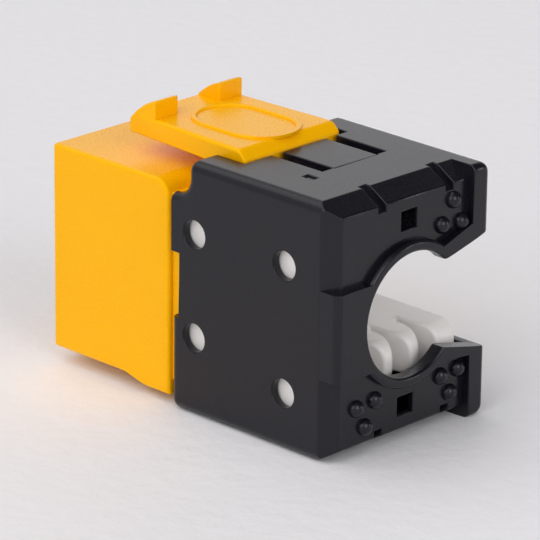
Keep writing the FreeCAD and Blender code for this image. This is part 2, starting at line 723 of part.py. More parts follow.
def make_latch():
    """The panel latch: a tapered plate with two catch ears, hinged on a bead under its rear."""
    latch = new_body("panel_latch")
    profile = outline(latch, "latch_side", "YZ_Plane", [
        (LATCH_FRONT, f"{LATCH_TOP} - latch_front_thickness"),
        (LATCH_REAR, LATCH_REAR_UNDER),
        (LATCH_REAR, f"{LATCH_TOP} - latch_rear_slope"),
        (f"{LATCH_REAR} - latch_rear_slope", LATCH_TOP),
        (f"{LATCH_FRONT} + latch_nose", LATCH_TOP),
        (LATCH_FRONT, f"{LATCH_TOP} - latch_nose"),
    ])
    extrude(latch, profile, "latch_rear_width")
    for name, sign in (("left", "-"), ("right", "")):
        x_front = f"{sign}latch_front_width / 2"
        x_rear = f"{sign}latch_rear_width / 2"
        x_out = f"{sign}latch_rear_width"
        taper = outline(latch, f"latch_taper_{name}", "XY_Plane", [
            (x_front, f"{LATCH_FRONT} - 0.01"), (x_rear, f"{LATCH_REAR} + 0.01"),
            (x_out, f"{LATCH_REAR} + 0.01"), (x_out, f"{LATCH_FRONT} - 0.01"),
        ], offset=LATCH_TOP)
        extrude(latch, taper, "4 * latch_rear_thickness", cut=True)
    round_edges(
        latch, "latch_edges", "latch_edge_round",
        lambda edge, middle: near(middle.z, LATCH_TOP) or (
            near(middle.y, LATCH_REAR) and runs_along(edge, Vector(0, 0, 1))),
    )
    add_ears(latch)
    add_thumb_ring(latch)
    root = "latch_root_width / 2"
    box(latch, "latch_root_web", (f"-{root}", root),
        (f"{LATCH_PIVOT_Y} - latch_root_thickness / 2", f"{LATCH_PIVOT_Y} + latch_root_thickness / 2"),
        (LATCH_PIVOT_Z, f"{LATCH_REAR_UNDER} + 0.3"))
    rod(latch, "latch_bead", (f"-{root}", LATCH_PIVOT_Y, LATCH_PIVOT_Z), "X",
        "latch_bead_radius", "latch_root_width")
    return latch


def add_ears(latch):
    """Add the two catch ears: a ramp that rises from the front to an upright rear face."""
    rise = f"({LATCH_TOP} + ear_rise)"
    foot = f"({LATCH_TOP} - latch_nose)"
    inner = "(latch_front_width / 2 - ear_width)"
    for name, sign in (("left", "-"), ("right", "")):
        ear = outline(latch, f"ear_{name}", "YZ_Plane", [
            (LATCH_FRONT, f"{foot} - 0.1"),
            (f"{LATCH_FRONT} + 0.25 * ear_length", f"{foot} + 0.41 * ({rise} - {foot})"),
            (f"{LATCH_FRONT} + 0.5 * ear_length", f"{foot} + 0.68 * ({rise} - {foot})"),
            (f"{LATCH_FRONT} + 0.75 * ear_length", f"{foot} + 0.88 * ({rise} - {foot})"),
            (EAR_REAR, rise),
            (EAR_REAR, f"{foot} - 0.1"),
        ], offset=f"{sign}({inner} + ear_width / 2)")
        extrude(latch, ear, "ear_width")


def add_thumb_ring(latch):
    """Add the raised ring, long across the latch's length, that the thumb presses on."""
    middle = f"(({EAR_REAR} + {LATCH_REAR}) / 2)"
    tall = "thumb_ring_rise + 0.1"
    for name, cut, radius, low in (
        ("ring", False, "thumb_ring_radius", f"{LATCH_TOP} - 0.1"),
        ("ring_inside", True, "thumb_ring_radius - thumb_ring_width", LATCH_TOP),
    ):
        for end, sign in (("front", "-"), ("rear", "+")):
            rod(latch, f"{name}_{end}", ("0", f"{middle} {sign} thumb_ring_stretch / 2", low), "Z",
                radius, tall, cut=cut)
        box(latch, f"{name}_middle", (f"-({radius})", radius),
            (f"{middle} - thumb_ring_stretch / 2", f"{middle} + thumb_ring_stretch / 2"),
            (low, f"{low} + {tall}"), cut=cut)


def contact_place(number):
    """Work out how far contact or lead number 1 to 8 lies from the middle plane."""
    return f"({number - (CONTACTS + 1) / 2} * contact_pitch)"


def make_carrier():
    """The insulator over the port, with one groove under it for each contact's lead."""
    carrier = new_body("contact_carrier")
    half = CARRIER_HALF
    box(carrier, "carrier_block", (f"-{half}", half),
        (f"{CARRIER_FRONT} + carrier_gap", f"{BOARD_FRONT} - carrier_gap"),
        (PORT_TOP, f"{PORT_TOP} + carrier_height"))
    for number in range(1, CONTACTS + 1):
        middle = contact_place(number)
        wide = "(contact_width / 2 + lead_groove_gap)"
        box(carrier, f"lead_groove_{number}", (f"{middle} - {wide}", f"{middle} + {wide}"),
            (f"{PIVOT_Y} - contact_bead_radius - 0.3", f"{BOARD_FRONT} + 1"),
            (f"{PORT_TOP} - 1", f"{LEAD_Z} + contact_thickness / 2 + lead_groove_gap"), cut=True)
    return carrier


def make_leads():
    """The fixed leads of the eight contacts, from the bend beads to the circuit board."""
    leads = new_body("contact_leads")
    for number in range(1, CONTACTS + 1):
        middle = contact_place(number)
        box(leads, f"lead_{number}", (f"{middle} - contact_width / 2", f"{middle} + contact_width / 2"),
            (f"{PIVOT_Y} + contact_bead_radius + hinge_clearance", BOARD_FRONT),
            (f"{LEAD_Z} - contact_thickness / 2", f"{LEAD_Z} + contact_thickness / 2"))
    return leads


def make_contact(number):
    """One spring contact: a bead at the bend and a free leg that slopes down into the port."""
    contact = new_body(f"spring_contact_{number}")
    middle = contact_place(number)
    run = f"({PORT_REAR} - {PIVOT_Y} - contact_end_gap)"
    length = f"sqrt({run} ^ 2 + contact_drop ^ 2)"
    along = (run, "-contact_drop")
    across = (f"contact_thickness / 2 * contact_drop / {length}", f"contact_thickness / 2 * {run} / {length}")
    leg = outline(contact, f"leg_{number}", "YZ_Plane", [
        (f"{PIVOT_Y} + {across[0]}", f"{PIVOT_Z} + {across[1]}"),
        (f"{PIVOT_Y} + {along[0]} + {across[0]}", f"{PIVOT_Z} + {along[1]} + {across[1]}"),
        (f"{PIVOT_Y} + {along[0]} - {across[0]}", f"{PIVOT_Z} + {along[1]} - {across[1]}"),
        (f"{PIVOT_Y} - {across[0]}", f"{PIVOT_Z} - {across[1]}"),
    ], offset=middle)
    extrude(contact, leg, "contact_width")
    rod(contact, f"bead_{number}", (f"{middle} - contact_width / 2", PIVOT_Y, PIVOT_Z), "X",
        "contact_bead_radius", "contact_width")
    return contact


def make_board():
    """The upright circuit board in the neck."""
    board = new_body("circuit_board")
    box(board, "board_plate", (f"-{BOARD_HALF}", BOARD_HALF), (BOARD_FRONT, BOARD_REAR),
        (BOARD_BOTTOM, BOARD_TOP))
    return board


def blade_places():
    """Give the number, place across and height of each blade."""
    places = []
    for row, height in enumerate((BLADE_LOW, BLADE_HIGH)):
        for step in range(BLADES_PER_ROW):
            places.append((row * BLADES_PER_ROW + step + 1, f"({step - 1.5} * {BLADE_PITCH})", height))
    return places


def make_block():
    """The insulator behind the board that holds the eight blades."""
    block = new_body("blade_block")
    box(block, "block_body", (f"-{BLOCK_HALF}", BLOCK_HALF), (BOARD_REAR, BLOCK_REAR),
        (f"{BOARD_BOTTOM} - block_margin", f"{BOARD_TOP} + block_margin"))
    for number, middle, height in blade_places():
        half = "(blade_width / 2 + blade_gap)"
        tall = "(blade_thickness / 2 + blade_gap)"
        box(block, f"blade_way_{number}", (f"{middle} - {half}", f"{middle} + {half}"),
            (f"{BOARD_REAR} - 1", f"{BLOCK_REAR} + 1"), (f"{height} - {tall}", f"{height} + {tall}"), cut=True)
    return block


def make_blade(number, middle, height):
    """One insulation-displacement blade: a flat fork that points at the wires."""
    blade = new_body(f"wire_blade_{number}")
    tip = BLADE_TIP
    half, slot = "blade_width / 2", "blade_slot_width / 2"
    fork = outline(blade, f"fork_{number}", "XY_Plane", [
        (f"{middle} - {half}", BOARD_REAR),
        (f"{middle} + {half}", BOARD_REAR),
        (f"{middle} + {half}", tip),
        (f"{middle} + {half} - blade_tip_bevel", tip),
        (f"{middle} + {slot}", f"{tip} - blade_mouth_depth"),
        (f"{middle} + {slot}", f"{tip} - blade_slot_length"),
        (f"{middle} - {slot}", f"{tip} - blade_slot_length"),
        (f"{middle} - {slot}", f"{tip} - blade_mouth_depth"),
        (f"{middle} - {half} + blade_tip_bevel", tip),
        (f"{middle} - {half}", tip),
    ], offset=height)
    extrude(blade, fork, "blade_thickness")
    return blade


def make_manager():
    """The white wire manager: a frame round the blade block and two rows of fingers behind it."""
    manager = new_body("wire_manager")
    half = MANAGER_HALF
    box(manager, "frame", (f"-{half}", half), (MANAGER_FRONT, MANAGER_WEB_REAR),
        (MANAGER_FLOOR, UPPER_FINGER_TOP))
    rows = (
        ("lower", FINGER_BOTTOM, FINGER_TOP, FINGER_TIP),
        ("upper", UPPER_FINGER_BOTTOM, UPPER_FINGER_TOP, UPPER_TIP),
    )
    for name, under, over, tip in rows:
        box(manager, f"{name}_shelf", (f"-{half}", half), (f"{MANAGER_WEB_REAR} - 0.5", tip), (under, over))
    round_finger_tips(manager)
    add_side_plates(manager)
    cut_manager(manager, rows)
    return manager


def cut_manager(manager, rows):
    """Cut the pocket for the blade block, the wire slots between the fingers and the blades' slots."""
    pocket_half = f"({BLOCK_HALF} + manager_block_gap)"
    around = "(block_margin + manager_block_gap)"
    box(manager, "block_pocket", (f"-{pocket_half}", pocket_half),
        (f"{MANAGER_FRONT} - 1", MANAGER_POCKET_REAR),
        (f"{BOARD_BOTTOM} - {around}", f"{BOARD_TOP} + {around}"), cut=True)
    for name, under, over, tip in rows:
        for step in range(BLADES_PER_ROW):
            middle = f"({step - 1.5} * {BLADE_PITCH})"
            slot = (f"{middle} - wire_slot_width / 2", f"{middle} + wire_slot_width / 2")
            box(manager, f"{name}_wire_slot_{step + 1}", slot,
                (f"{tip} - finger_length", f"{tip} + 1"), (f"{under} - 1", f"{over} + 1"), cut=True)
            mouth = outline(manager, f"{name}_slot_mouth_{step + 1}", "XY_Plane", [
                (slot[0], f"{tip} - wire_slot_flare_length"),
                (f"{slot[0]} - 1.1 * wire_slot_flare", f"{tip} + 0.1 * wire_slot_flare_length"),
                (f"{slot[1]} + 1.1 * wire_slot_flare", f"{tip} + 0.1 * wire_slot_flare_length"),
                (slot[1], f"{tip} - wire_slot_flare_length"),
            ], offset=f"{under} - 1")
            extrude(manager, mouth, f"{over} - {under} + 2", cut=True, both_ways=False).Reversed = True
    wide = "(blade_width / 2 + blade_gap)"
    tall = "(blade_thickness / 2 + blade_gap)"
    for number, middle, height in blade_places():
        box(manager, f"blade_slot_{number}", (f"{middle} - {wide}", f"{middle} + {wide}"),
            (f"{MANAGER_FRONT} - 1", f"{BLADE_TIP} + 0.75 * blade_tip_gap"),
            (f"{height} - {tall}", f"{height} + {tall}"), cut=True)


def round_finger_tips(manager):
    """Round the finger tips towards the cable."""
    round_edges(
        manager, "finger_tips", "finger_tip_round",
        lambda edge, middle: near(middle.y, FINGER_TIP) and near(middle.z, FINGER_TOP)
        or near(middle.y, UPPER_TIP) and near(middle.z, UPPER_FINGER_BOTTOM),
    )
    round_edges(
        manager, "finger_undersides", "finger_under_round",
        lambda edge, middle: near(middle.y, FINGER_TIP) and near(middle.z, FINGER_BOTTOM)
        or near(middle.y, UPPER_TIP) and near(middle.z, UPPER_FINGER_TOP),
    )


def add_side_plates(manager):
    """Add the plates that back the hood's side holes, and the notch that clears the latch's shelf."""
    half = MANAGER_HALF
    for name, low, high in (
        ("left", f"-{half}", f"-{half} + side_plate_width"), ("right", f"{half} - side_plate_width", half),
    ):
        box(manager, f"upper_plate_{name}", (low, high), (f"{MANAGER_WEB_REAR} - 0.5", UPPER_TIP),
            (f"{UPPER_FINGER_BOTTOM} - side_plate_drop", f"{UPPER_FINGER_BOTTOM} + 0.5"))
        box(manager, f"lower_plate_{name}", (low, high), (f"{MANAGER_WEB_REAR} - 0.5", LOWER_PLATE_REAR),
            (f"{FINGER_BOTTOM} - lower_plate_drop", f"{FINGER_BOTTOM} + 0.5"))
    reach = "(latch_shelf_width / 2 + manager_front_gap)"
    box(manager, "shelf_notch", (f"-{reach}", reach),
        (f"{MANAGER_FRONT} - 1", f"{SHELF_REAR} + manager_front_gap"),
        (f"{SHELF_BOTTOM} - manager_front_gap", f"{UPPER_FINGER_TOP} + 1"), cut=True)


def build():
    """Build every sub-part."""
    make_hood()
    make_tongue()
    make_housing()
    make_latch()
    make_carrier()
    make_leads()
    for number in range(1, CONTACTS + 1):
        make_contact(number)
    make_board()
    make_block()
    for number, middle, height in blade_places():
        make_blade(number, middle, height)
    make_manager()
    doc.recompute()


def check():
    """Stop if any object failed or any sub-part has no sound shape."""
    for item in doc.Objects:
        if "Invalid" in item.State or "Error" in item.State:
            raise RuntimeError(f"{item.Name} failed: {item.State}")
    for body in bodies:
        if body.Shape.isNull() or not body.Shape.isValid():
            raise RuntimeError(f"{body.Label} has no sound shape")


def write():
    """Write one STEP file for each sub-part."""
    os.makedirs("parts", exist_ok=True)
    for body in bodies:
        body.Shape.exportStep(f"parts/{body.Label}.step")
        bounds = body.Shape.BoundBox
        print(f"{body.Label}: {len(body.Shape.Solids)} solid, {body.Shape.Volume:.2f} mm3, "
              f"{bounds.XLength:.2f} x {bounds.YLength:.2f} x {bounds.ZLength:.2f}")


build()
check()
write()
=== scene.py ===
"""Keystone jack with a snap-on rear hood: its moulded finishes, softened edges and studio.

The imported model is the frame. Lengths are in metres, +Z is up and the cable side faces +Y.
"""

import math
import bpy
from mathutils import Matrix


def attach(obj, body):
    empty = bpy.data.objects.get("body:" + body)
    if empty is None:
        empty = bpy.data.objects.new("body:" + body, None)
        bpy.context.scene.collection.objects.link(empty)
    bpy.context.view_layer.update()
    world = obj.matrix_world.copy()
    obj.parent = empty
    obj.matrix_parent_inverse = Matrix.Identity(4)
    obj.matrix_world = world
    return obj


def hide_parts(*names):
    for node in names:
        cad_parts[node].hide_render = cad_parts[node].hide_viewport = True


bl_info = {
    "name": "Keystone Jack Looks",
    "version": (1, 0, 0),
    "blender": (4, 5, 0),
    "location": "View3D > Sidebar > Keystone Jack",
    "description": "Finishes the keystone jack's pieces and sets up a small studio round them",
    "category": "Object",
}

import bmesh
import bpy
from mathutils import Matrix, Vector

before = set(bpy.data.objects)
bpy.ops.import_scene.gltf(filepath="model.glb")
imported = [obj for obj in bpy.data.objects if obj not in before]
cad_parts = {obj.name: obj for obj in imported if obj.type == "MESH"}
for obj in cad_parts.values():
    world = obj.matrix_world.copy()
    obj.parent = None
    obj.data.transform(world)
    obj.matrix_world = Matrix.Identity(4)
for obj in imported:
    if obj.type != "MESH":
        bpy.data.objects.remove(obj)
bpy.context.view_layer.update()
MM = 0.001

JOIN_DISTANCE = 0.0005 * MM
FLAT_ANGLE = math.radians(0.4)
HARD_ANGLE = math.radians(32)
SHARP_ANGLE = math.radians(38)
# Each rounding pass takes a share of the edge width, with its own number of segments.
ROUNDING_PASSES = ((1.0, 3), (0.5, 2), (0.25, 1))
# The share of a neighbouring edge that a rounding may take, when one end of it is rounded or both.
ROOM_ONE_END = 0.96
ROOM_BOTH_ENDS = 0.48
SMALLEST_RATIO = 0.001

LIGHT_TARGET = Vector((0, 0, 10)) * MM
# Name, place, width and height in metres, and power in watts.
SOFTBOXES = (
    ("overhead_softbox", (0.15, -0.25, 0.62), (0.7, 0.7), 1.3),
    ("front_softbox", (0.62, 0.10, 0.40), (0.6, 0.6), 1.65),
    ("cable_side_softbox", (0.12, 0.74, 0.40), (0.5, 0.5), 2.0),
    ("open_side_strip", (-0.58, 0.62, 0.12), (0.14, 0.3), 0.6),
    ("rear_softbox", (-0.62, -0.30, 0.30), (0.8, 0.55), 0.55),
)
# The middle of the black flag's patch of the room, and the room's light outside it and inside.
FLAG_DIRECTION = (-0.67, 0.33, 0.65)
ROOM_COLOUR = "#F4F4F6"
ROOM_LIGHT = 0.7
FLAG_LIGHT = 0.06

CAMERA_TARGET = Vector((7.53, 7.85, 12.97)) * MM


def linear(code):
    """Turn an sRGB hex colour into linear red, green and blue."""
    channels = [int(code[place:place + 2], 16) / 255 for place in (1, 3, 5)]
    return tuple(
        level / 12.92 if level <= 0.04045 else ((level + 0.055) / 1.055) ** 2.4
        for level in channels
    )


# ---------------------------------------------------------------- sizes and colours


class JackColours(bpy.types.PropertyGroup):
    """Colours of the moulded, plated and coated surfaces."""

    housing: bpy.props.FloatVectorProperty(
        name="Housing", description="Yellow of the jack housing and the panel latch",
        subtype="COLOR", size=3, min=0, max=1, default=linear("#FFB600"),
    )
    hood: bpy.props.FloatVectorProperty(
        name="Hood", description="Black of the rear hood and its snap tongue",
        subtype="COLOR", size=3, min=0, max=1, default=linear("#131219"),
    )
    manager: bpy.props.FloatVectorProperty(
        name="Wire manager", description="Milky white of the wire manager",
        subtype="COLOR", size=3, min=0, max=1, default=linear("#FAF6F2"),
    )
    insulator: bpy.props.FloatVectorProperty(
        name="Insulator", description="Dark grey of the contact carrier and the blade block",
        subtype="COLOR", size=3, min=0, max=1, default=linear("#2A2B2E"),
    )
    contact: bpy.props.FloatVectorProperty(
        name="Contacts", description="Gold of the spring contacts and their leads",
        subtype="COLOR", size=3, min=0, max=1, default=linear("#E3B75A"),
    )
    blade: bpy.props.FloatVectorProperty(
        name="Blades", description="Bright tin of the wire blades",
        subtype="COLOR", size=3, min=0, max=1, default=linear("#C9C8C3"),
    )
    board: bpy.props.FloatVectorProperty(
        name="Circuit board", description="Green of the board's solder mask",
        subtype="COLOR", size=3, min=0, max=1, default=linear("#1E6B3A"),
    )
    floor: bpy.props.FloatVectorProperty(
        name="Floor", description="Pale grey of the studio floor",
        subtype="COLOR", size=3, min=0, max=1, default=linear("#EEECEE"),
    )


class JackSizes(bpy.types.PropertyGroup):
    """Sizes of the softened edges and of the studio."""

    hood_edge: bpy.props.FloatProperty(
        name="Hood edges", description="Width of the soft moulded edge on the hood",
        subtype="DISTANCE", min=0, default=0.1 * MM,
    )
    housing_edge: bpy.props.FloatProperty(
        name="Housing edges", description="Width of the soft moulded edge on the housing and latch",
        subtype="DISTANCE", min=0, default=0.16 * MM,
    )
    manager_edge: bpy.props.FloatProperty(
        name="Wire manager edges", description="Width of the soft moulded edge on the wire manager",
        subtype="DISTANCE", min=0, default=0.24 * MM,
    )
    floor_width: bpy.props.FloatProperty(
        name="Floor width", description="Width of the square studio floor",
        subtype="DISTANCE", min=0.1, default=3.0,
    )
    lens: bpy.props.FloatProperty(
        name="Lens", description="Focal length of the camera's long lens, in millimetres",
        min=20, default=278.2,
    )
    camera_distance: bpy.props.FloatProperty(
        name="Camera distance", description="From the camera to the point it looks at",
        subtype="DISTANCE", min=0.05, default=0.2878,
    )
    camera_azimuth: bpy.props.FloatProperty(
        name="Camera azimuth", description="Turn of the camera round the jack; 0 looks along +Y",
        subtype="ANGLE", default=math.radians(134.24),
    )
    camera_elevation: bpy.props.FloatProperty(
        name="Camera elevation", description="How far the camera stands above the horizon",
        subtype="ANGLE", default=math.radians(20.07),
    )
    camera_roll: bpy.props.FloatProperty(
        name="Camera roll", description="Small turn of the camera about its own view",
        subtype="ANGLE", default=math.radians(0.66),
    )


# ---------------------------------------------------------------- finishes


def add_node(tree, kind, sockets=(), **settings):
    """Add a node with its settings, then give each input, by name or number, a value or a link."""
    node = tree.nodes.new(kind)
    for name, setting in settings.items():
        setattr(node, name, setting)
    for name, given in dict(sockets).items():
        if isinstance(given, bpy.types.NodeSocket):
            tree.links.new(given, node.inputs[name])
        else:
            node.inputs[name].default_value = given
    return node


def start_material(name):
    """Make an empty node material and return it with its tree and its surface coordinates."""
    material = bpy.data.materials.new(name)
    material.use_nodes = True
    material.node_tree.nodes.clear()
    place = add_node(material.node_tree, "ShaderNodeTexCoord").outputs["Object"]
    return material, material.node_tree, place


def moulded_surface(tree, place, peel, peel_depth, grit, grit_depth):
    """Return a moulded skin's normal, a slow ripple with a fine eroded grit on it, and the grit."""
    ripple = add_node(tree, "ShaderNodeTexNoise", {
        "Vector": place, "Scale": 1 / peel, "Detail": 1.0,
    })
    rippled = add_node(tree, "ShaderNodeBump", {
        "Strength": 1.0, "Distance": peel_depth, "Height": ripple.outputs["Fac"],
    })
    grain = add_node(tree, "ShaderNodeTexNoise", {
        "Vector": place, "Scale": 1 / grit, "Detail": 2.0, "Roughness": 0.6,
    })
    bump = add_node(tree, "ShaderNodeBump", {
        "Strength": 1.0, "Distance": grit_depth, "Height": grain.outputs["Fac"],
        "Normal": rippled.outputs["Normal"],
    })
    return bump.outputs["Normal"], grain.outputs["Fac"]


def shade(colour, share):
    """Return a colour made lighter or darker, with full cover."""
    return tuple(min(level * share, 1.0) for level in colour) + (1.0,)


def yellow_housing_finish(colour):
    """Glossy injection-moulded ABS: a polished skin that mirrors the studio over a warm yellow."""
    material, tree, place = start_material("glossy_moulded_abs_yellow")
    flow = add_node(tree, "ShaderNodeTexNoise", {
        "Vector": place, "Scale": 1 / (5 * MM), "Detail": 3.0,
    })
    base = add_node(tree, "ShaderNodeMix", {
        0: flow.outputs["Fac"], 6: shade(colour, 0.95), 7: shade(colour, 1.03),
    }, data_type="RGBA").outputs[2]
    # The steel's polish leaves a ripple of about 1.5 mm; the 0.05 mm grit is drawn at 0.16 mm.
    normal, grain = moulded_surface(tree, place, 1.5 * MM, 0.003 * MM, 0.16 * MM, 0.0004 * MM)
    shine = add_node(tree, "ShaderNodeMapRange", {
        "Value": grain, "From Min": 0.3, "From Max": 0.7, "To Min": 0.24, "To Max": 0.34,
    })
    shader = add_node(tree, "ShaderNodeBsdfPrincipled", {
        "Base Color": base, "Roughness": shine.outputs["Result"], "IOR": 1.54, "Normal": normal,
        "Specular IOR Level": 0.3, "Specular Tint": (1.0, 0.7, 0.15, 1.0),
        "Subsurface Weight": 0.08, "Subsurface Radius": (1.0, 0.5, 0.15),
        "Subsurface Scale": 0.6 * MM,
    })
    add_node(tree, "ShaderNodeOutputMaterial", {"Surface": shader.outputs["BSDF"]})
    return material


def black_hood_finish(colour):
    """Satin injection-moulded ABS: a spark-eroded mould leaves it softly grey under the lights."""
    material, tree, place = start_material("satin_moulded_abs_black")
    flow = add_node(tree, "ShaderNodeTexNoise", {
        "Vector": place, "Scale": 1 / (6 * MM), "Detail": 3.0,
    })
    base = add_node(tree, "ShaderNodeMix", {
        0: flow.outputs["Fac"], 6: shade(colour, 0.8), 7: shade(colour, 1.25),
    }, data_type="RGBA").outputs[2]
    # Eroded grit is about 0.06 mm across; it is drawn at 0.2 mm so that it shows.
    normal, grain = moulded_surface(tree, place, 2.0 * MM, 0.006 * MM, 0.2 * MM, 0.001 * MM)
    shine = add_node(tree, "ShaderNodeMapRange", {
        "Value": grain, "From Min": 0.3, "From Max": 0.7, "To Min": 0.18, "To Max": 0.28,
    })
    shader = add_node(tree, "ShaderNodeBsdfPrincipled", {
        "Base Color": base, "Roughness": shine.outputs["Result"], "IOR": 1.54, "Normal": normal,
        "Specular IOR Level": 0.3,
    })
    add_node(tree, "ShaderNodeOutputMaterial", {"Surface": shader.outputs["BSDF"]})
    return material


def white_manager_finish(colour):
    """Milky moulded polycarbonate: light sinks in a little and keeps its fingers soft in shade."""
    material, tree, place = start_material("milky_moulded_polycarbonate")
    flow = add_node(tree, "ShaderNodeTexNoise", {
        "Vector": place, "Scale": 1 / (3 * MM), "Detail": 2.0,
    })
    base = add_node(tree, "ShaderNodeMix", {
        0: flow.outputs["Fac"], 6: shade(colour, 0.93), 7: shade(colour, 1),
    }, data_type="RGBA").outputs[2]
    # The grit is 0.05 mm and is drawn at 0.15 mm.
    normal, grain = moulded_surface(tree, place, 1.2 * MM, 0.005 * MM, 0.15 * MM, 0.0015 * MM)
    shine = add_node(tree, "ShaderNodeMapRange", {
        "Value": grain, "From Min": 0.3, "From Max": 0.7, "To Min": 0.28, "To Max": 0.4,
    })
    shader = add_node(tree, "ShaderNodeBsdfPrincipled", {
        "Base Color": base, "Roughness": shine.outputs["Result"], "IOR": 1.585, "Normal": normal,
        "Subsurface Weight": 0.35, "Subsurface Radius": (1.0, 1.0, 1.0),
        "Subsurface Scale": 0.9 * MM,
    })
    add_node(tree, "ShaderNodeOutputMaterial", {"Surface": shader.outputs["BSDF"]})
    return material


def dark_insulator_finish(colour):
    """Glass-filled PBT: matt dark grey with the fibres' short pale streaks just under the skin."""
    material, tree, place = start_material("glass_filled_pbt_dark")
    # The fibres are 0.3 mm long and 0.01 mm thick; they are drawn 0.06 mm thick so that they show.
    stretch = add_node(tree, "ShaderNodeMapping", {"Vector": place, "Scale": (1.0, 0.2, 1.0)})
    fibres = add_node(tree, "ShaderNodeTexNoise", {
        "Vector": stretch.outputs["Vector"], "Scale": 1 / (0.06 * MM), "Detail": 2.0,
    })
    streak = add_node(tree, "ShaderNodeMapRange", {
        "Value": fibres.outputs["Fac"], "From Min": 0.55, "From Max": 0.8,
    })
    base = add_node(tree, "ShaderNodeMix", {
        0: streak.outputs["Result"], 6: shade(colour, 1), 7: shade(colour, 2.2),
    }, data_type="RGBA").outputs[2]
    normal, _ = moulded_surface(tree, place, 1.0 * MM, 0.003 * MM, 0.12 * MM, 0.003 * MM)
    shader = add_node(tree, "ShaderNodeBsdfPrincipled", {
        "Base Color": base, "Roughness": 0.58, "IOR": 1.55, "Normal": normal,
    })
    add_node(tree, "ShaderNodeOutputMaterial", {"Surface": shader.outputs["BSDF"]})
    return material


def gold_contact_finish(colour):
    """Hard gold on rolled bronze strip: bright, with faint rolling lines along the strip."""
    material, tree, place = start_material("hard_gold_on_rolled_bronze")
    # Rolling lines are about 0.01 mm apart; they are drawn 0.05 mm apart.
    stretch = add_node(tree, "ShaderNodeMapping", {"Vector": place, "Scale": (1.0, 0.06, 0.06)})
    lines = add_node(tree, "ShaderNodeTexNoise", {
        "Vector": stretch.outputs["Vector"], "Scale": 1 / (0.05 * MM), "Detail": 2.0,
    })
    rolled = add_node(tree, "ShaderNodeBump", {
        "Strength": 1.0, "Distance": 0.0012 * MM, "Height": lines.outputs["Fac"],
    })
    base = add_node(tree, "ShaderNodeMix", {
        0: lines.outputs["Fac"], 6: shade(colour, 0.86), 7: shade(colour, 1),
    }, data_type="RGBA").outputs[2]
    shine = add_node(tree, "ShaderNodeMapRange", {
        "Value": lines.outputs["Fac"], "To Min": 0.16, "To Max": 0.34,
    })
    shader = add_node(tree, "ShaderNodeBsdfPrincipled", {
        "Base Color": base, "Metallic": 1.0, "Roughness": shine.outputs["Result"],
        "Normal": rolled.outputs["Normal"],
    })
    add_node(tree, "ShaderNodeOutputMaterial", {"Surface": shader.outputs["BSDF"]})
    return material


def tin_blade_finish(colour):
    """Bright tin on stamped bronze: a pale, slightly cloudy metal."""
    material, tree, place = start_material("bright_tin_on_stamped_bronze")
    clouds = add_node(tree, "ShaderNodeTexNoise", {
        "Vector": place, "Scale": 1 / (0.4 * MM), "Detail": 3.0,
    })
    base = add_node(tree, "ShaderNodeMix", {
        0: clouds.outputs["Fac"], 6: shade(colour, 0.82), 7: shade(colour, 1),
    }, data_type="RGBA").outputs[2]
    shine = add_node(tree, "ShaderNodeMapRange", {
        "Value": clouds.outputs["Fac"], "To Min": 0.25, "To Max": 0.5,
    })
    pitted = add_node(tree, "ShaderNodeBump", {
        "Strength": 1.0, "Distance": 0.002 * MM, "Height": clouds.outputs["Fac"],
    })
    shader = add_node(tree, "ShaderNodeBsdfPrincipled", {
        "Base Color": base, "Metallic": 1.0, "Roughness": shine.outputs["Result"],
        "Normal": pitted.outputs["Normal"],
    })
    add_node(tree, "ShaderNodeOutputMaterial", {"Surface": shader.outputs["BSDF"]})
    return material


def board_finish(colour):
    """Solder mask on glass-epoxy board: glossy green over the faint squares of the glass cloth."""
    material, tree, place = start_material("solder_mask_on_glass_epoxy")
    # The glass cloth has about 1.7 threads in each millimetre.
    threads = 2 * math.pi * 1.7 / (20 * MM)
    across = add_node(tree, "ShaderNodeTexWave", {
        "Vector": place, "Scale": threads, "Distortion": 0.4,
    }, bands_direction="X")
    upward = add_node(tree, "ShaderNodeTexWave", {
        "Vector": place, "Scale": threads, "Distortion": 0.4,
    }, bands_direction="Z")
    cloth = add_node(tree, "ShaderNodeMath", {
        0: across.outputs["Fac"], 1: upward.outputs["Fac"],
    }, operation="MULTIPLY")
    base = add_node(tree, "ShaderNodeMix", {
        0: cloth.outputs["Value"], 6: shade(colour, 0.8), 7: shade(colour, 1),
    }, data_type="RGBA").outputs[2]
    woven = add_node(tree, "ShaderNodeBump", {
        "Strength": 1.0, "Distance": 0.006 * MM, "Height": cloth.outputs["Value"],
    })
    shader = add_node(tree, "ShaderNodeBsdfPrincipled", {
        "Base Color": base, "Roughness": 0.28, "IOR": 1.5, "Normal": woven.outputs["Normal"],
    })
    add_node(tree, "ShaderNodeOutputMaterial", {"Surface": shader.outputs["BSDF"]})
    return material


def floor_finish(colour):
    """Matt studio paper: pale and even, with a slight tooth that breaks up its shadows."""
    material, tree, place = start_material("matt_studio_paper")
    tooth = add_node(tree, "ShaderNodeTexNoise", {
        "Vector": place, "Scale": 1 / (1.5 * MM), "Detail": 3.0,
    })
    base = add_node(tree, "ShaderNodeMix", {
        0: tooth.outputs["Fac"], 6: shade(colour, 0.985), 7: shade(colour, 1),
    }, data_type="RGBA").outputs[2]
    toothed = add_node(tree, "ShaderNodeBump", {
        "Strength": 1.0, "Distance": 0.1 * MM, "Height": tooth.outputs["Fac"],
    })
    shader = add_node(tree, "ShaderNodeBsdfPrincipled", {
        "Base Color": base, "Roughness": 0.7, "IOR": 1.45, "Normal": toothed.outputs["Normal"],
    })
    add_node(tree, "ShaderNodeOutputMaterial", {"Surface": shader.outputs["BSDF"]})
    return material


# ---------------------------------------------------------------- shapes


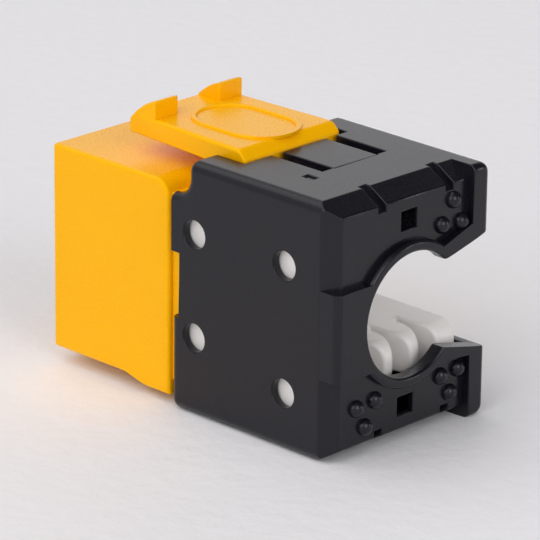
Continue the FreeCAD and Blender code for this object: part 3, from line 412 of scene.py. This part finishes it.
def has_room(edge, chosen, width):
    """Say whether the faces beside an edge leave room to round it to a width."""
    taken = {}
    for loop in edge.link_loops:
        following = loop.link_loop_next
        for corner, beside in ((loop, loop.link_loop_prev.edge), (following, following.edge)):
            angle = corner.calc_angle()
            if beside not in chosen:
                far = beside.other_vert(corner.vert)
                both = any(other in chosen for other in far.link_edges)
                share = ROOM_BOTH_ENDS if both else ROOM_ONE_END
                if width / max(math.sin(angle), SMALLEST_RATIO) > beside.calc_length() * share:
                    return False
            elif corner.is_convex:
                need = width / max(math.tan(angle / 2), SMALLEST_RATIO)
                taken[corner.vert] = max(taken.get(corner.vert, 0), need)
    return sum(taken.values()) < edge.calc_length() * ROOM_ONE_END


def round_edges(shape, width, segments, rounded):
    """Round the outward hard edges that have room for a width, and note the new faces."""
    chosen = {
        edge for edge in shape.edges
        if len(edge.link_faces) == 2 and edge.calc_face_angle_signed(0.0) > HARD_ANGLE
        and not any(face in rounded for face in edge.link_faces)
    }
    tight = True
    while tight:
        tight = {edge for edge in chosen if not has_room(edge, chosen, width)}
        chosen -= tight
    result = bmesh.ops.bevel(
        shape, geom=sorted(chosen, key=lambda edge: edge.index), offset=width, offset_type="OFFSET",
        segments=segments, profile=0.5, affect="EDGES", material=-1, miter_outer="SHARP",
    )
    rounded.update(result["faces"])


def softened_copy(node, name, width, body, material):
    """Stand a copy of a node in for it, its faces joined up and its outward edges rounded."""
    shape = bmesh.new()
    shape.from_mesh(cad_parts[node].data)
    bmesh.ops.remove_doubles(shape, verts=shape.verts, dist=JOIN_DISTANCE)
    bmesh.ops.dissolve_limit(
        shape, angle_limit=FLAT_ANGLE, verts=shape.verts, edges=shape.edges,
        use_dissolve_boundaries=False, delimit={"NORMAL"},
    )
    rounded = set()
    for share, segments in ROUNDING_PASSES:
        shape.edges.index_update()
        round_edges(shape, width * share, segments, rounded)
    for face in shape.faces:
        face.smooth = True
    for edge in shape.edges:
        edge.smooth = edge.calc_face_angle(0.0) < SHARP_ANGLE
    mesh = bpy.data.meshes.new(name)
    shape.to_mesh(mesh)
    shape.free()
    mesh.materials.append(material)
    piece = bpy.data.objects.new(name, mesh)
    bpy.context.scene.collection.objects.link(piece)
    weighted = piece.modifiers.new("flat_faces", "WEIGHTED_NORMAL")
    weighted.keep_sharp = True
    weighted.weight = 100
    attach(piece, body)
    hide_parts(node)


def cover_node(node, material):
    """Give a node of the frame its finish."""
    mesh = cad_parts[node].data
    mesh.materials.clear()
    mesh.materials.append(material)


# ---------------------------------------------------------------- operators


class JACK_OT_finish_hood(bpy.types.Operator):
    """Soften and finish the rear hood and its snap tongue"""

    bl_idname = "jack.finish_hood"
    bl_label = "Rear Hood"

    def execute(self, context):
        sizes, colours = context.scene.jack_sizes, context.scene.jack_colours
        black = black_hood_finish(tuple(colours.hood))
        softened_copy("rear_hood", "moulded_hood", sizes.hood_edge, "hood", black)
        softened_copy(
            "hood_snap_tongue", "moulded_snap_tongue", sizes.hood_edge,
            "snap_tongue", black,
        )
        return {"FINISHED"}


class JACK_OT_finish_housing(bpy.types.Operator):
    """Soften and finish the jack housing and the panel latch"""

    bl_idname = "jack.finish_housing"
    bl_label = "Housing and Latch"

    def execute(self, context):
        sizes, colours = context.scene.jack_sizes, context.scene.jack_colours
        yellow = yellow_housing_finish(tuple(colours.housing))
        softened_copy(
            "jack_housing", "moulded_housing", sizes.housing_edge,
            "jack", yellow,
        )
        softened_copy(
            "panel_latch", "moulded_latch", sizes.housing_edge,
            "panel_latch", yellow,
        )
        return {"FINISHED"}


class JACK_OT_finish_manager(bpy.types.Operator):
    """Soften and finish the wire manager"""

    bl_idname = "jack.finish_manager"
    bl_label = "Wire Manager"

    def execute(self, context):
        sizes, colours = context.scene.jack_sizes, context.scene.jack_colours
        white = white_manager_finish(tuple(colours.manager))
        softened_copy(
            "wire_manager", "moulded_wire_manager", sizes.manager_edge,
            "hood", white,
        )
        return {"FINISHED"}


class JACK_OT_finish_contacts(bpy.types.Operator):
    """Finish the spring contacts, their leads and the insulator that carries them"""

    bl_idname = "jack.finish_contacts"
    bl_label = "Contacts and Carrier"

    def execute(self, context):
        colours = context.scene.jack_colours
        gold = gold_contact_finish(tuple(colours.contact))
        for number in range(1, 9):
            cover_node(f"spring_contact_{number}", gold)
        cover_node("contact_leads", gold)
        cover_node("contact_carrier", dark_insulator_finish(tuple(colours.insulator)))
        return {"FINISHED"}


class JACK_OT_finish_board(bpy.types.Operator):
    """Finish the circuit board, the blade block and the eight wire blades"""

    bl_idname = "jack.finish_board"
    bl_label = "Board and Blades"

    def execute(self, context):
        colours = context.scene.jack_colours
        cover_node("circuit_board", board_finish(tuple(colours.board)))
        cover_node("blade_block", dark_insulator_finish(tuple(colours.insulator)))
        tin = tin_blade_finish(tuple(colours.blade))
        for number in range(1, 9):
            cover_node(f"wire_blade_{number}", tin)
        return {"FINISHED"}


class JACK_OT_set_stage(bpy.types.Operator):
    """Lay the floor, hang the soft lights and place the camera"""

    bl_idname = "jack.set_stage"
    bl_label = "Studio"

    def execute(self, context):
        sizes, colours = context.scene.jack_sizes, context.scene.jack_colours
        lay_floor(sizes.floor_width, floor_finish(tuple(colours.floor)))
        hang_lights()
        place_camera(sizes)
        return {"FINISHED"}


def lay_floor(width, material):
    """Lay a square of paper under the jack."""
    shape = bmesh.new()
    bmesh.ops.create_grid(shape, x_segments=4, y_segments=4, size=width / 2)
    mesh = bpy.data.meshes.new("studio_floor")
    shape.to_mesh(mesh)
    shape.free()
    mesh.materials.append(material)
    floor = bpy.data.objects.new("studio_floor", mesh)
    bpy.context.scene.collection.objects.link(floor)


def hang_lights():
    """Hang softboxes over the jack and round it, in a pale room."""
    for name, place, size, power in SOFTBOXES:
        data = bpy.data.lights.new(name, "AREA")
        data.shape = "RECTANGLE"
        data.size, data.size_y = size
        data.energy = power
        light = bpy.data.objects.new(name, data)
        bpy.context.scene.collection.objects.link(light)
        aim = LIGHT_TARGET - Vector(place)
        facing = aim.to_track_quat("-Z", "Y").to_matrix().to_4x4()
        light.matrix_world = Matrix.Translation(place) @ facing
    world = bpy.data.worlds.new("studio_room")
    world.use_nodes = True
    world.node_tree.nodes.clear()
    # A black flag hangs above the cable side, so the faces that slope up there stay deep.
    way = add_node(world.node_tree, "ShaderNodeTexCoord").outputs["Generated"]
    flag = add_node(world.node_tree, "ShaderNodeVectorMath", {
        0: way, 1: FLAG_DIRECTION,
    }, operation="DOT_PRODUCT")
    dimmed = add_node(world.node_tree, "ShaderNodeMapRange", {
        "Value": flag.outputs["Value"], "From Min": 0.45, "From Max": 0.92,
        "To Min": ROOM_LIGHT, "To Max": FLAG_LIGHT,
    }, interpolation_type="SMOOTHSTEP")
    room = add_node(world.node_tree, "ShaderNodeBackground", {
        "Color": shade(linear(ROOM_COLOUR), 1), "Strength": dimmed.outputs["Result"],
    })
    add_node(world.node_tree, "ShaderNodeOutputWorld", {"Surface": room.outputs["Background"]})
    bpy.context.scene.world = world
    bpy.context.scene.view_settings.view_transform = "Standard"


def place_camera(sizes):
    """Place the camera above the cable end, a little to the closed side."""
    turn, rise, roll = sizes.camera_azimuth, sizes.camera_elevation, sizes.camera_roll
    level = math.cos(rise)
    back = Vector((math.sin(turn) * level, -math.cos(turn) * level, math.sin(rise)))
    right = Vector((math.cos(turn), math.sin(turn), 0))
    up = back.cross(right)
    right = right * math.cos(roll) + up * math.sin(roll)
    up = back.cross(right)
    data = bpy.data.cameras.new("studio_camera")
    data.lens = sizes.lens
    data.sensor_width = 36
    data.clip_start = 0.01
    camera = bpy.data.objects.new("studio_camera", data)
    bpy.context.scene.collection.objects.link(camera)
    axes = Matrix((right, up, back)).transposed().to_4x4()
    camera.matrix_world = Matrix.Translation(CAMERA_TARGET + back * sizes.camera_distance) @ axes
    bpy.context.scene.camera = camera


# ---------------------------------------------------------------- panel and registration


class VIEW3D_PT_jack(bpy.types.Panel):
    """Sidebar panel with the jack's sizes, colours and steps"""

    bl_label = "Keystone Jack"
    bl_space_type = "VIEW_3D"
    bl_region_type = "UI"
    bl_category = "Keystone Jack"

    def draw(self, context):
        column = self.layout.column()
        for group in (context.scene.jack_sizes, context.scene.jack_colours):
            for name in group.__annotations__:
                column.prop(group, name)
        for operator in OPERATORS:
            column.operator(operator.bl_idname)


OPERATORS = (
    JACK_OT_finish_hood,
    JACK_OT_finish_housing,
    JACK_OT_finish_manager,
    JACK_OT_finish_contacts,
    JACK_OT_finish_board,
    JACK_OT_set_stage,
)
CLASSES = (JackColours, JackSizes, *OPERATORS, VIEW3D_PT_jack)


def register():
    for cls in CLASSES:
        bpy.utils.register_class(cls)
    bpy.types.Scene.jack_colours = bpy.props.PointerProperty(type=JackColours)
    bpy.types.Scene.jack_sizes = bpy.props.PointerProperty(type=JackSizes)


def unregister():
    del bpy.types.Scene.jack_sizes
    del bpy.types.Scene.jack_colours
    for cls in reversed(CLASSES):
        bpy.utils.unregister_class(cls)


def main():
    register()
    bpy.ops.jack.finish_hood()
    bpy.ops.jack.finish_housing()
    bpy.ops.jack.finish_manager()
    bpy.ops.jack.finish_contacts()
    bpy.ops.jack.finish_board()
    bpy.ops.jack.set_stage()


if __name__ == "__main__":
    main()
